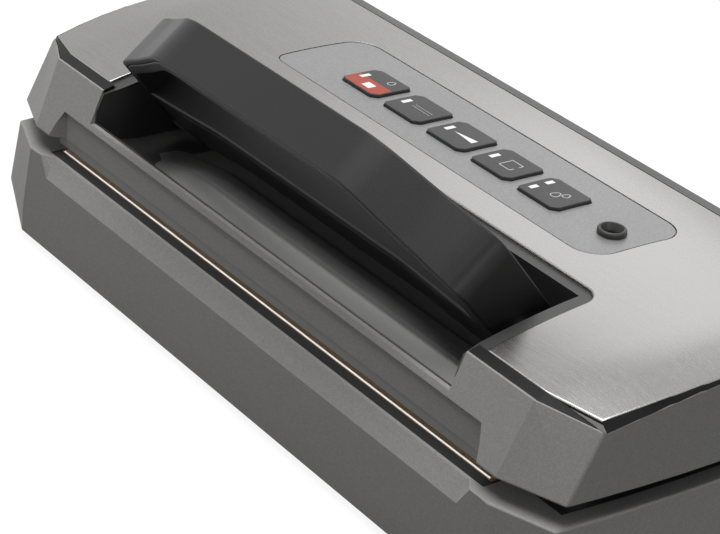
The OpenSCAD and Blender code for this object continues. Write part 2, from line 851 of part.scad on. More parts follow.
module handle_hub() {
  color("#1d1d1e") in_handle() difference() {
    intersection() {
      box([3.4 - arm_x, -13.2, -9], [arm_x - 3.4, 12.6, 17.7]);
      translate([0, 0, -20]) linear_extrude(120) polygon(bail_plan);
    }
    rod_x(-arm_x - 6.5, arm_x + 6.5, 0, 0, shaft_r);
  }
}

module handle_shaft() {
  color("#b4b6b9") rod_x(-shaft_half, shaft_half, pivot_y, pivot_z, shaft_r);
}

hook_lean = 30;
hook_tip = 48;
toe_sweep = 14;

// plate fixed on the handle shaft: an arm hanging down with a toe that points back
module lock_hook() {
  color("#a5a7ab") along_x(hook_x - 1.5, hook_x + 1.5) translate([pivot_y, pivot_z])
    rotate(-90 - hook_lean) difference() {
      union() {
        circle(7, $fn = 48);
        translate([0, -3.5]) square([hook_tip - 0.5, 7]);
        intersection() {
          difference() {
            circle(hook_tip, $fn = 96);
            circle(catch_r + 2, $fn = 96);
          }
          polygon([[0, 0], [60, 0], [60, 60 * tan(toe_sweep + 4)]]);
        }
      }
      circle(shaft_r, $fn = 48);
    }
}

// ---------- one line per piece ----------

base_shell();
bottom_cover();
bottom_screws();
chamber_tray();
lower_gasket();
seal_bar();
heating_wire();
release_tape();
pump_motor();
pump_frame();
pump_crank();
pump_head();
vacuum_hose();
release_valve();
pressure_switch();
transformer();
power_board();
lid_switch();
switch_plunger();
power_inlet();
lid_frame();
trim_frame();
cover_plate();
recess_tub();
lid_liner();
upper_gasket();
pressure_strip();
control_panel();
key_board();
port_fitting();
accessory_hose();
liner_screws();
handle_outer_shell();
handle_inner_shell();
handle_hub();
handle_shaft();
foot(-foot_x, -foot_y);  // foot_front_left
foot(foot_x, -foot_y);  // foot_front_right
foot(-foot_x, foot_y);  // foot_back_left
foot(foot_x, foot_y);  // foot_back_right
lock_catch();  // lock_catch_right
mirror([1, 0, 0]) lock_catch();  // lock_catch_left
hinge_bracket();  // hinge_bracket_right
mirror([1, 0, 0]) hinge_bracket();  // hinge_bracket_left
hinge_pin();  // hinge_pin_right
mirror([1, 0, 0]) hinge_pin();  // hinge_pin_left
shaft_block();  // shaft_block_right
mirror([1, 0, 0]) shaft_block();  // shaft_block_left
hinge_arm();  // hinge_arm_right
mirror([1, 0, 0]) hinge_arm();  // hinge_arm_left
lock_hook();  // lock_hook_right
mirror([1, 0, 0]) lock_hook();  // lock_hook_left
key(1);  // key_1
key(2);  // key_2
key(3);  // key_3
key(4);  // key_4
key(5);  // key_5
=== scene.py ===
import bmesh
import bpy
import numpy as np
from mathutils import Matrix, Vector
from mathutils.geometry import delaunay_2d_cdt


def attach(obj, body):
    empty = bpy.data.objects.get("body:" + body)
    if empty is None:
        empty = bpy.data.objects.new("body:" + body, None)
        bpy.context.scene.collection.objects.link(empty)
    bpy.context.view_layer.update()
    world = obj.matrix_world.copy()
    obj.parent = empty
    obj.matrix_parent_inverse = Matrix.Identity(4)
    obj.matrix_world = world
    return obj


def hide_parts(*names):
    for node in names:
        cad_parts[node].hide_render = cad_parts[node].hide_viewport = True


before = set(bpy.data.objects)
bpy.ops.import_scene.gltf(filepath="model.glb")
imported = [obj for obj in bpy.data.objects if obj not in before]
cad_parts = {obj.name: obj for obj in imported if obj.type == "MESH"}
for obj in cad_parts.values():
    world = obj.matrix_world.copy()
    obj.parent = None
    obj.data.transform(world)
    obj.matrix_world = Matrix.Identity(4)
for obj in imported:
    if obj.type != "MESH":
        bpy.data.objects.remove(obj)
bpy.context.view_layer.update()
MM = 0.001

# ---------------------------------------------------------------------------------------------------------------------
# Camera. A long lens stands to the right of the sealer and above it, and looks down along the lid. It comes first, so
# that everything after it can be judged from the same place.
CAMERA_PLACE, CAMERA_LENS = (0.7085, -0.6136, 0.5355), 117.5
CAMERA_RIGHT, CAMERA_UP, CAMERA_AHEAD = (0.5949, 0.7981, 0.0956), (-0.4249, 0.2113, 0.8803), (-0.6823, 0.5642, -0.4648)


def in_scene(name, data):
    """A new object with that data, linked to the scene."""
    thing = bpy.data.objects.new(name, data)
    bpy.context.scene.collection.objects.link(thing)
    return thing


camera_data = bpy.data.cameras.new("camera")
camera_data.lens = CAMERA_LENS
camera_data.sensor_width = 36
camera_data.clip_end = 20
camera = in_scene("camera", camera_data)
camera.matrix_world = Matrix.Translation(CAMERA_PLACE) @ Matrix(
    [[across, rise, -ahead] for across, rise, ahead in zip(CAMERA_RIGHT, CAMERA_UP, CAMERA_AHEAD)]).to_4x4()
bpy.context.scene.camera = camera


# ---------------------------------------------------------------------------------------------------------------------
# Studio. A white floor that keeps a soft shadow, a white surround, and cloth-fronted lamps: a broad one overhead,
# which is the brightest, one behind to the left that the steel mirrors, and weaker ones all round.
def wire(tree, out_socket, in_socket):
    """Links an output to an input."""
    tree.links.new(out_socket, in_socket)


def value_node(tree, kind, **values):
    """A shader node of that kind, with its properties and its unlinked inputs set by name."""
    node = tree.nodes.new(kind)
    for name, value in values.items():
        if hasattr(node, name):
            setattr(node, name, value)
        else:
            node.inputs[name.replace("_", " ")].default_value = value
    return node


def seen_directly(tree):
    """1 for rays from the camera and for mirror and glass rays, and 0 for the light that falls on things."""
    path = tree.nodes.new("ShaderNodeLightPath")
    mirrored = value_node(tree, "ShaderNodeMath", operation="MAXIMUM")
    wire(tree, path.outputs["Is Glossy Ray"], mirrored.inputs[0])
    wire(tree, path.outputs["Is Transmission Ray"], mirrored.inputs[1])
    seen = value_node(tree, "ShaderNodeMath", operation="MAXIMUM")
    wire(tree, path.outputs["Is Camera Ray"], seen.inputs[0])
    wire(tree, mirrored.outputs[0], seen.inputs[1])
    return seen.outputs[0]


bpy.context.scene.view_settings.view_transform = "Standard"
world = bpy.data.worlds.new("studio")
bpy.context.scene.world = world
world.use_nodes = True
sky = world.node_tree
sky.nodes.clear()
seen = seen_directly(sky)
# the room's own light, which only matt surfaces take in: palest low down at the back left, dim to the front right
PALEST_TOWARDS, TURNOVER, ROOM_DIM, ROOM_PALE = (-0.50, 0.36, -0.79), 0.7, 0.06, 0.24
where = sky.nodes.new("ShaderNodeTexCoord")
towards = value_node(sky, "ShaderNodeVectorMath", operation="DOT_PRODUCT")
towards.inputs[1].default_value = PALEST_TOWARDS
bright = value_node(sky, "ShaderNodeMapRange", interpolation_type="SMOOTHSTEP", From_Min=-TURNOVER,
                    From_Max=TURNOVER, To_Min=ROOM_DIM, To_Max=ROOM_PALE)
wire(sky, where.outputs["Generated"], towards.inputs[0])
wire(sky, towards.outputs["Value"], bright.inputs["Value"])
room = value_node(sky, "ShaderNodeBackground", Color=(0.98, 0.985, 1.0, 1))
wire(sky, bright.outputs[0], room.inputs["Strength"])
white = value_node(sky, "ShaderNodeBackground", Color=(1, 1, 1, 1), Strength=1.0)
choose = sky.nodes.new("ShaderNodeMixShader")
world_out = sky.nodes.new("ShaderNodeOutputWorld")
wire(sky, seen, choose.inputs[0])
wire(sky, room.outputs[0], choose.inputs[1])
wire(sky, white.outputs[0], choose.inputs[2])
wire(sky, choose.outputs[0], world_out.inputs[0])

floor_mesh = bpy.data.meshes.new("floor")
FLOOR_HALF = 4
floor_mesh.from_pydata([(x * FLOOR_HALF, y * FLOOR_HALF, 0) for x, y in ((-1, -1), (1, -1), (1, 1), (-1, 1))], [],
                       [(0, 1, 2, 3)])
floor = in_scene("floor", floor_mesh)
floor_finish = bpy.data.materials.new("floor")
floor_finish.use_nodes = True
tree = floor_finish.node_tree
tree.nodes.clear()
seen = seen_directly(tree)
matt = tree.nodes.new("ShaderNodeBsdfDiffuse")
# the floor shows its shadow as a pale floor does, and throws little light up at the object
FLOOR_UNSEEN, FLOOR_SEEN, GLOW_SHARE = 0.12, 0.80, 0.86
tone = value_node(tree, "ShaderNodeMapRange", To_Min=FLOOR_UNSEEN, To_Max=FLOOR_SEEN)
wire(tree, seen, tone.inputs["Value"])
wire(tree, tone.outputs[0], matt.inputs["Color"])
glow = value_node(tree, "ShaderNodeEmission", Color=(1, 1, 1, 1), Strength=1.05)
share = value_node(tree, "ShaderNodeMath", operation="MULTIPLY")
share.inputs[1].default_value = GLOW_SHARE
mixed = tree.nodes.new("ShaderNodeMixShader")
floor_out = tree.nodes.new("ShaderNodeOutputMaterial")
wire(tree, seen, share.inputs[0])
wire(tree, share.outputs[0], mixed.inputs[0])
wire(tree, matt.outputs[0], mixed.inputs[1])
wire(tree, glow.outputs[0], mixed.inputs[2])
wire(tree, mixed.outputs[0], floor_out.inputs[0])
floor_mesh.materials.append(floor_finish)


def softbox(name, place, size, radiance, long_axis=(0, 0, 1), aim=(0, 0, 0.08)):
    """An area lamp of a given brightness at a place, facing the aim, with its height along the long axis."""
    data = bpy.data.lights.new(name, "AREA")
    data.shape = "RECTANGLE"
    data.size, data.size_y = size
    data.energy = radiance * np.pi * size[0] * size[1]
    lamp = in_scene(name, data)
    back = (Vector(place) - Vector(aim)).normalized()
    side = Vector(long_axis).cross(back).normalized()
    rise = back.cross(side)
    lamp.matrix_world = Matrix.Translation(place) @ Matrix([side, rise, back]).transposed().to_4x4()


# each lamp's place, its width and height, and its brightness
softbox("back_left_box", (-0.98, 1.20, 1.05), (0.75, 1.1), 1.15, (-0.134, -0.692, 0.71))
softbox("left_box", (-1.65, -0.40, 0.95), (1.1, 0.75), 0.35)
softbox("front_left_box", (-1.15, -1.35, 0.75), (1.1, 0.62), 2.2)
softbox("front_box", (-0.20, -1.90, 0.95), (0.9, 0.5), 1.4)
softbox("overhead_box", (-0.10, -0.25, 2.0), (1.7, 1.3), 7.2, (0, 1, 0))
softbox("back_right_box", (0.95, 1.20, 1.50), (0.7, 0.7), 1.0)
softbox("right_box", (1.90, -0.10, 0.70), (0.9, 0.55), 3.6)


# ---------------------------------------------------------------------------------------------------------------------
# Shared surface effects, each a node group that puts out only colours, values and heights: the fine spark-eroded grain
# of moulded plastic, the drawn lines of brushed steel, and the flakes of a metallic lacquer or printed film.
def effect(name, inputs, outputs):
    """A node group with named float or colour sockets; returns it with its input and output nodes."""
    group = bpy.data.node_groups.new(name, "ShaderNodeTree")
    kinds = {"f": "NodeSocketFloat", "c": "NodeSocketColor"}
    for label, kind in inputs:
        group.interface.new_socket(label, in_out="INPUT", socket_type=kinds[kind])
    for label, kind in outputs:
        group.interface.new_socket(label, in_out="OUTPUT", socket_type=kinds[kind])
    return group, group.nodes.new("NodeGroupInput"), group.nodes.new("NodeGroupOutput")


def maths(tree, operation, a, b):
    """A two-input math node; either input is a socket or a number."""
    node = value_node(tree, "ShaderNodeMath", operation=operation)
    for k, item in enumerate((a, b)):
        if isinstance(item, (int, float)):
            node.inputs[k].default_value = item
        else:
            wire(tree, item, node.inputs[k])
    return node.outputs[0]


def scaled(tree, colour, factor):
    """A colour times a value: a vector is scaled by the factor."""
    node = value_node(tree, "ShaderNodeVectorMath", operation="SCALE")
    wire(tree, colour, node.inputs[0])
    wire(tree, factor, node.inputs["Scale"])
    return node.outputs[0]


def noise_on(tree, scale, detail=2.0, stretch=(1, 1, 1), roughness=0.5):
    """A noise pattern on the object's own coordinates, squeezed by the stretch; scale may be a socket."""
    place = tree.nodes.new("ShaderNodeTexCoord")
    fit = value_node(tree, "ShaderNodeMapping", Scale=stretch)
    pattern = value_node(tree, "ShaderNodeTexNoise", Detail=detail, Roughness=roughness)
    wire(tree, place.outputs["Object"], fit.inputs[0])
    wire(tree, fit.outputs[0], pattern.inputs["Vector"])
    if isinstance(scale, (int, float)):
        pattern.inputs["Scale"].default_value = scale
    else:
        wire(tree, scale, pattern.inputs["Scale"])
    return pattern.outputs[0]


def swing(tree, pattern, amount):
    """1 plus the pattern's swing about its middle, times the amount."""
    return maths(tree, "ADD", maths(tree, "MULTIPLY", maths(tree, "SUBTRACT", pattern, 0.5), amount), 1.0)


# moulded grain: a fine noise for the texture of the tool, and a slow one for the unevenness of the gloss
grain, grain_in, grain_out = effect(
    "moulded_grain", [("Colour", "c"), ("Scale", "f"), ("Mottle", "f"), ("Roughness", "f")],
    [("Colour", "c"), ("Height", "f"), ("Roughness", "f")])
fine = noise_on(grain, grain_in.outputs["Scale"], 3.0)
slow = noise_on(grain, 14.0, 2.0)
speck = swing(grain, fine, grain_in.outputs["Mottle"])
broad = swing(grain, slow, 0.16)
wire(grain, scaled(grain, grain_in.outputs["Colour"], maths(grain, "MULTIPLY", speck, broad)), grain_out.inputs[0])
wire(grain, fine, grain_out.inputs[1])
wire(grain, maths(grain, "MULTIPLY", grain_in.outputs["Roughness"], swing(grain, slow, 0.3)), grain_out.inputs[2])

# brushed lines: noise stretched along X in two widths
brush, brush_in, brush_out = effect(
    "brushed_lines", [("Colour", "c"), ("Contrast", "f"), ("Roughness", "f")],
    [("Colour", "c"), ("Height", "f"), ("Roughness", "f")])
line_a = noise_on(brush, 1.0, 3.0, (90, 2600, 900), 0.6)
line_b = noise_on(brush, 1.0, 2.0, (25, 700, 300), 0.5)
lines = maths(brush, "ADD", maths(brush, "MULTIPLY", line_a, 0.65), maths(brush, "MULTIPLY", line_b, 0.35))
wire(brush, scaled(brush, brush_in.outputs["Colour"], swing(brush, lines, brush_in.outputs["Contrast"])),
     brush_out.inputs[0])
wire(brush, lines, brush_out.inputs[1])
wire(brush, maths(brush, "MULTIPLY", brush_in.outputs["Roughness"], swing(brush, lines, 0.5)), brush_out.inputs[2])

# flakes: random cells, each a little lighter or darker and more or less glossy
flake, flake_in, flake_out = effect(
    "metallic_flakes", [("Colour", "c"), ("Cells", "f"), ("Sparkle", "f"), ("Roughness", "f")],
    [("Colour", "c"), ("Height", "f"), ("Roughness", "f")])
where = flake.nodes.new("ShaderNodeTexCoord")
cells = value_node(flake, "ShaderNodeTexVoronoi", feature="F1")
split = flake.nodes.new("ShaderNodeSeparateColor")
wire(flake, where.outputs["Object"], cells.inputs["Vector"])
wire(flake, flake_in.outputs["Cells"], cells.inputs["Scale"])
wire(flake, cells.outputs["Color"], split.inputs[0])
mottled = maths(flake, "ADD", maths(flake, "MULTIPLY", split.outputs[0], 0.6),
                maths(flake, "MULTIPLY", noise_on(flake, 900.0, 2.0), 0.4))
wire(flake, scaled(flake, flake_in.outputs["Colour"], swing(flake, mottled, flake_in.outputs["Sparkle"])),
     flake_out.inputs[0])
wire(flake, split.outputs[1], flake_out.inputs[1])
wire(flake, maths(flake, "MULTIPLY", flake_in.outputs["Roughness"], swing(flake, noise_on(flake, 20.0), 0.3)),
     flake_out.inputs[2])


def finish_of(name, group, colour, roughness, metallic=0.0, bump=0.05, bump_mm=0.02, aniso=0.0, specular=0.5,
              **inputs):
    """A Principled material whose colour, roughness and bump come from one of the shared effects."""
    material = bpy.data.materials.new(name)
    material.use_nodes = True
    tree = material.node_tree
    shader = tree.nodes["Principled BSDF"]
    source = tree.nodes.new("ShaderNodeGroup")
    source.node_tree = group
    source.inputs["Colour"].default_value = (*colour, 1)
    source.inputs["Roughness"].default_value = roughness
    for label, number in inputs.items():
        source.inputs[label].default_value = number
    relief = value_node(tree, "ShaderNodeBump", Strength=bump, Distance=bump_mm * MM)
    wire(tree, source.outputs["Colour"], shader.inputs["Base Color"])
    wire(tree, source.outputs["Roughness"], shader.inputs["Roughness"])
    wire(tree, source.outputs["Height"], relief.inputs["Height"])
    wire(tree, relief.outputs[0], shader.inputs["Normal"])
    shader.inputs["Metallic"].default_value = metallic
    shader.inputs["Anisotropic"].default_value = aniso
    shader.inputs["Specular IOR Level"].default_value = specular
    return material


def dress(material, *nodes):
    """Gives the CAD nodes a finish in place of their plain colour."""
    for name in nodes:
        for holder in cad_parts[name].material_slots:
            holder.material = material


# ---------------------------------------------------------------------------------------------------------------------
# Base housing. An injection-moulded ABS tub in graphite lacquer; it widens from the rim to a line low down, tucks in
# to the table, and has a chamfer along its front top edge. The black mouldings inside and below get their finish here.
graphite = finish_of("graphite_lacquer", flake, (0.255, 0.250, 0.245), 0.42, specular=0.06, bump=0.3, Cells=2400.0,
                     Sparkle=0.35)
moulded_black = finish_of("moulded_black", grain, (0.018, 0.018, 0.019), 0.5, Scale=1600.0, Mottle=0.3, bump=0.4)


def even_shading(piece):
    """Shading that follows the broad faces, so that narrow ones beside them don't tilt it."""
    even = piece.modifiers.new("even", "WEIGHTED_NORMAL")
    even.keep_sharp = True


MERGE_MM, SLIVER_MM, SHORT_EDGE_MM, BROAD_FACE_MM2 = 0.03, 0.02, 1.2, 40
FLAT_DEGREES, CREASE_DEGREES, ROUND_STEPS = 0.4, 11.0, 3


def rounded_copy(node, name, material, radius, angle=24.0):
    """A CAD node's own faces, merged and freed of seams inside flat areas, with its long outer edges rounded off."""
    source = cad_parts[node].data
    work = bmesh.new()
    work.from_mesh(source)
    for layer in list(work.loops.layers.float_vector.values()):
        work.loops.layers.float_vector.remove(layer)
    bmesh.ops.remove_doubles(work, verts=work.verts, dist=MERGE_MM * MM)
    bmesh.ops.dissolve_degenerate(work, edges=work.edges, dist=SLIVER_MM * MM)
    bmesh.ops.dissolve_limit(work, angle_limit=np.radians(FLAT_DEGREES), verts=work.verts, edges=work.edges)
    plain = bpy.data.meshes.new(name)
    work.verts.index_update()
    work.edges.index_update()
    corners = np.array([v.co for v in work.verts])
    middle = Vector((corners.min(0) + corners.max(0)) / 2)
    # only the long edges between two broad faces that look away from the middle of the piece are rounded
    rounded = {}
    for edge in work.edges:
        if len(edge.link_faces) != 2 or edge.calc_length() < SHORT_EDGE_MM * MM:
            continue
        if not edge.is_convex or edge.calc_face_angle(0) < np.radians(angle):
            continue
        at = (edge.verts[0].co + edge.verts[1].co) / 2 - middle
        if all(f.normal.dot(at) > 0 and f.calc_area() > BROAD_FACE_MM2 * MM * MM for f in edge.link_faces):
            rounded[tuple(sorted((edge.verts[0].index, edge.verts[1].index)))] = 1.0
    plain.from_pydata(corners.tolist(), [], [[v.index for v in f.verts] for f in work.faces])
    work.free()
    weights = plain.attributes.new("bevel_weight_edge", "FLOAT", "EDGE")
    ends = np.empty(2 * len(plain.edges), int)
    plain.edges.foreach_get("vertices", ends)
    weights.data.foreach_set("value", [rounded.get((min(a, b), max(a, b)), 0.0) for a, b in ends.reshape(-1, 2)])
    plain.materials.append(material)
    plain.shade_smooth()
    plain.set_sharp_from_angle(angle=np.radians(CREASE_DEGREES))
    piece = in_scene(name, plain)
    soften = piece.modifiers.new("edges", "BEVEL")
    soften.width = radius * MM
    soften.segments = ROUND_STEPS
    soften.limit_method = "WEIGHT"
    soften.use_clamp_overlap = False
    even_shading(piece)
    return piece


def place(piece, body, slot, *nodes):
    """The piece moves with the body and stands for the nodes, which are hidden; the slot is not used."""
    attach(piece, body)
    if nodes:
        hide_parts(*nodes)


base_housing = rounded_copy("base_shell", "base_housing", graphite, radius=0.8)
place(base_housing, "base", "grey_housing", "base_shell")
dress(moulded_black, "bottom_cover", "chamber_tray", "lid_liner", "seal_bar", "lid_switch", "power_inlet",
      "hinge_bracket_left", "hinge_bracket_right", "hinge_arm_left", "hinge_arm_right", "shaft_block_left",
      "shaft_block_right", "pump_head", "pump_frame", "pressure_switch", "release_valve")

# ---------------------------------------------------------------------------------------------------------------------
# Lid frame. The grey moulding that carries everything above the gap; its front leans back, and its lower middle is cut
# back to an upright lip. Same lacquer as the base.
lid_housing = rounded_copy("lid_frame", "lid_housing", graphite, radius=0.9)
place(lid_housing, "lid", "grey_housing", "lid_frame")

# ---------------------------------------------------------------------------------------------------------------------
# Trim. A satin black moulding that closes the lid round the steel and shows as a dark border.
satin_black = finish_of("satin_black", grain, (0.012, 0.012, 0.0125), 0.34, Scale=1400.0, Mottle=0.2, bump=0.12,
                        specular=0.1)
trim = rounded_copy("trim_frame", "trim", satin_black, radius=0.35)
place(trim, "lid", "black_trim", "trim_frame")

# ---------------------------------------------------------------------------------------------------------------------
# Recess. A black grained moulding let into the lid, with a trough in front for the fingers and a satin border flange.
recess_black = finish_of("recess_black", grain, (0.022, 0.0217, 0.0214), 0.42, metallic=0.1, Scale=1500.0, Mottle=0.3,
                         bump=0.5, bump_mm=0.03)
recess = rounded_copy("recess_tub", "recess", recess_black, radius=0.6, angle=35.0)
place(recess, "lid", "inner_plastic", "recess_tub")

# ---------------------------------------------------------------------------------------------------------------------
# Steel plate. One sheet of brushed stainless steel pressed to the crown of the lid and folded down a little at both
# ends, with a rounded edge, a bay for the recess and a window for the key panel.
brushed = finish_of("brushed_steel", brush, (0.27, 0.267, 0.26), 0.27, metallic=1.0, bump=0.22, bump_mm=0.006,
                    aniso=0.3, Contrast=0.22)

LID_TOP, CROWN_R, CROWN_Y = 105.5, 421.0, 19.0
KINK_X, KINK_Y, FOLD_SOFT = 173.5, -75.0, 1.5
FACET_FALL, FACET_YAW = np.tan(np.radians(6.8)), np.tan(np.radians(6.1))


def crown(y):
    """Height of the lid's top along the middle: a circle of large radius from front to back."""
    return LID_TOP - CROWN_R + np.sqrt(CROWN_R**2 - (y - CROWN_Y)**2)


def steel_z(x, y):
    """The crown, less a fall outside the fold lines, which spread towards the back; the fold is rounded over 3 mm."""
    past = np.abs(x) - (KINK_X + (y - KINK_Y) * FACET_YAW)
    past = np.where(past > FOLD_SOFT, past, np.where(past < -FOLD_SOFT, 0, (past + FOLD_SOFT)**2 / (4 * FOLD_SOFT)))
    return crown(y) - past * FACET_FALL


def arc(cx, cy, r, a0, a1, n):
    """n points of a circle from angle a0 to a1, in degrees."""
    a = np.radians(np.linspace(a0, a1, n))
    return np.stack([cx + r * np.cos(a), cy + r * np.sin(a)], 1)


def softened(points, setback, n=6):
    """A closed polygon with each corner replaced by a parabola that starts a setback before it."""
    points = np.asarray(points, float)
    before, after = np.roll(points, 1, 0) - points, np.roll(points, -1, 0) - points
    la, lb = np.linalg.norm(before, axis=1), np.linalg.norm(after, axis=1)
    cut = np.minimum(np.broadcast_to(setback, la.shape), np.minimum(la, lb) * 0.45)[:, None]
    a, b = points + before / la[:, None] * cut, points + after / lb[:, None] * cut
    t = np.linspace(0, 1, n)[None, :, None]
    curve = (1 - t)**2 * a[:, None] + 2 * t * (1 - t) * points[:, None] + t**2 * b[:, None]
    return curve.reshape(-1, 2)


def spaced(points, step):
    """The same closed polygon with extra points so that no side is longer than the step."""
    out = []
    for a, b in zip(points, np.roll(points, -1, 0)):
        n = max(1, int(np.ceil(np.linalg.norm(b - a) / step)))
        out.append(a + (b - a) * (np.arange(n) / n)[:, None])
    return np.concatenate(out)


def inset(points, distance):
    """Each point of an anticlockwise polygon moved inwards along the mitre of its two sides."""
    sides = np.roll(points, -1, 0) - points
    normal = np.stack([sides[:, 1], -sides[:, 0]], 1) / np.linalg.norm(sides, axis=1)[:, None]
    last = np.roll(normal, 1, 0)
    return points - (normal + last) / (1 + (normal * last).sum(1))[:, None] * distance


def body_outline(kx, fy, cx, cy, bow, back, r=10):
    """Anticlockwise outline: front edge, slanted corners, bowed sides and rounded back corners."""
    t = np.linspace(0, 1, 14)
    side = np.stack([cx + bow * 4 * t * (1 - t), cy + (back - r - cy) * t], 1)
    corner = arc(cx - r, back - r, r, 8, 90, 9)
    half = np.concatenate([[[kx, fy]], side, corner])
    return np.concatenate([half, half[::-1] * [-1, 1]])


WELD_MM, LATTICE_CLEARANCE = 0.002, 0.62


def solid_piece(name, verts, faces, material, angle=40.0):
    """A mesh in metres from points in millimetres, with sharp edges marked from the angle."""
    mesh = bpy.data.meshes.new(name)
    mesh.from_pydata((np.asarray(verts) * MM).tolist(), [], faces)
    work = bmesh.new()
    work.from_mesh(mesh)
    bmesh.ops.remove_doubles(work, verts=work.verts, dist=WELD_MM * MM)
    bmesh.ops.recalc_face_normals(work, faces=work.faces)
    work.to_mesh(mesh)
    work.free()
    mesh.materials.append(material)
    mesh.shade_smooth()
    mesh.set_sharp_from_angle(angle=np.radians(angle))
    piece = in_scene(name, mesh)
    even_shading(piece)
    return piece


def within(points, loop):
    """True for each point inside a closed polygon, by counting the sides that a ray along X crosses."""
    a, b = loop, np.roll(loop, -1, 0)
    x, y = points[:, 0, None], points[:, 1, None]
    rise = b[:, 1] - a[:, 1]
    crosses = ((a[:, 1] > y) != (b[:, 1] > y)) & (
        x < (b[:, 0] - a[:, 0]) * (y - a[:, 1]) / np.where(rise == 0, 1e-9, rise) + a[:, 0])
    return crosses.sum(1) % 2 == 1


def winding(loop):
    """Twice the area of a loop, above zero where it runs anticlockwise."""
    return (loop[:, 0] * np.roll(loop[:, 1], -1) - loop[:, 1] * np.roll(loop[:, 0], -1)).sum()


def filled(outer, holes, step):
    """Triangles that fill a polygon with holes, through a lattice of inner points a step apart."""
    loops = [loop if winding(loop) > 0 else loop[::-1] for loop in [outer] + list(holes)]
    rings, start = [], 0
    for loop in loops:
        rings.append(list(range(start, start + len(loop))))
        start += len(loop)
    low, high = outer.min(0), outer.max(0)
    gx, gy = np.meshgrid(np.arange(low[0] + step / 2, high[0], step), np.arange(low[1] + step / 2, high[1], step))
    lattice = np.stack([gx.ravel(), gy.ravel()], 1)
    keep = within(lattice, outer)
    for k, loop in enumerate(loops):
        keep &= np.linalg.norm(lattice[:, None] - loop[None], axis=2).min(1) > step * LATTICE_CLEARANCE
        if k:
            keep &= ~within(lattice, loop)
    points = np.concatenate(loops + [lattice[keep]])
    # each triangle knows which of the outlines it lies in; the ones in the outer outline alone are kept
    result = delaunay_2d_cdt([Vector(p) for p in points], [], rings, 0, 1e-6, True)
    flat = np.array([tuple(v) for v in result[0]])
    tris = [list(face) for face, inside in zip(result[2], result[5]) if list(inside) == [0]]
    return flat, tris


def sheet_solid(name, outer, holes, top, thickness, radius, material, step=8.0, arc_steps=4, hole_radius=None):
    """A closed plate: a crowned face, an edge rounded by a quarter circle, upright walls and a flat back."""
    verts, faces = [], []

    def add(points, z):
        """Keeps a row of points and returns the number of its first."""
        start = sum(len(v) for v in verts)
        verts.append(np.column_stack([points, z]))
        return start

    tops = []
    for k, loop in enumerate([outer] + list(holes)):
        sign = 1 if k == 0 else -1
        if k and hole_radius is not None:
            radius = hole_radius
        rows = []
        for a in np.radians(np.linspace(0, 90, arc_steps + 1)):
            ring = inset(loop, sign * radius * (1 - np.cos(a)))
            rows.append(add(ring, top(ring[:, 0], ring[:, 1]) - radius * (1 - np.sin(a))))
        foot = add(loop, top(loop[:, 0], loop[:, 1]) - thickness)
        n = len(loop)
        for lower, upper in zip([foot] + rows[:-1], rows):
            faces += [(lower + j, lower + (j + 1) % n, upper + (j + 1) % n, upper + j) for j in range(n)]
        tops.append(inset(loop, sign * radius))
    flat, tris = filled(tops[0], tops[1:], step)
    start = add(flat, top(flat[:, 0], flat[:, 1]))
    faces += [[start + j for j in f] for f in tris]
    flat, tris = filled(outer, holes, step * 3)
    start = add(flat, top(flat[:, 0], flat[:, 1]) - thickness)
    faces += [[start + j for j in f][::-1] for f in tris]
    return solid_piece(name, np.concatenate(verts), faces, material)


# the circles, as (x, y, radius), that a band is drawn round to give the panel's edge
PANEL_CIRCLES = [(-106, 5, 6), (101, 12, 13.5), (101, 40, 13.5), (-100, 41, 12.5)]


def tangent(a, b):
    """The angle, in degrees, at which a band leaves circle a on its way to circle b."""
    d = np.array([b[0] - a[0], b[1] - a[1]], float)
    return np.degrees(np.arctan2(d[1], d[0])) - 90 + np.degrees(np.arcsin((a[2] - b[2]) / np.linalg.norm(d)))


def panel_outline(grow=0.0):
    """The panel's edge: the band round the four circles, anticlockwise."""
    parts = []
    for k, (x, y, r) in enumerate(PANEL_CIRCLES):
        a0 = tangent(PANEL_CIRCLES[k - 1], PANEL_CIRCLES[k])
        a1 = tangent(PANEL_CIRCLES[k], PANEL_CIRCLES[(k + 1) % 4])
        a1 += 360 * (a1 < a0)
        parts.append(arc(x, y, r + grow, a0, a1, 12))
    return np.concatenate(parts)


PLATE_FRONT, RECESS_HALF, RECESS_BACK, BAY_R, TIP_SOFT = -74.9, 138.0, -17.5, 8, 1.6
PLATE = body_outline(kx=KINK_X, fy=PLATE_FRONT, cx=197.4, cy=-68.2, bow=7, back=84)
bay = arc(RECESS_HALF - BAY_R, RECESS_BACK - BAY_R, BAY_R, 0, 90, 9)
bay = np.concatenate([bay, bay[::-1] * [-1, 1]])
# of each softened corner list only the middle corner, where the plate's front edge meets the bay, is taken
left_tip = softened([[-KINK_X, PLATE_FRONT], [-RECESS_HALF, PLATE_FRONT], [-RECESS_HALF, -40]], TIP_SOFT)[6:12]
right_tip = softened([[RECESS_HALF, -40], [RECESS_HALF, PLATE_FRONT], [KINK_X, PLATE_FRONT]], TIP_SOFT)[6:12]
# the loop runs along the front left, round the bay, along the front right and round the back
plate_loop = spaced(np.concatenate([left_tip, bay[::-1], right_tip, PLATE]), 5.0)
steel = sheet_solid("steel_plate", plate_loop, [spaced(panel_outline(0.25), 5.0)], steel_z, thickness=1.2, radius=0.8,
                    material=brushed, step=9.0, arc_steps=5, hole_radius=0.2)
place(steel, "lid", "brushed_steel", "cover_plate")

# ---------------------------------------------------------------------------------------------------------------------
# Key panel. A silver printed film on a thin backing, level with the steel, with windows for the keys and the port.
film = finish_of("panel_film", flake, (0.21, 0.21, 0.213), 0.46, metallic=0.4, bump=0.25, Cells=2300.0, Sparkle=0.45)
KEY_TIP, KEY_PITCH, KEY_N = (73.3, 34.0), 31.6, 5
KEY_W, KEY_D, KEY_RISE, KEY_SOFT = 24.9, 22.1, 1.3, 0.7
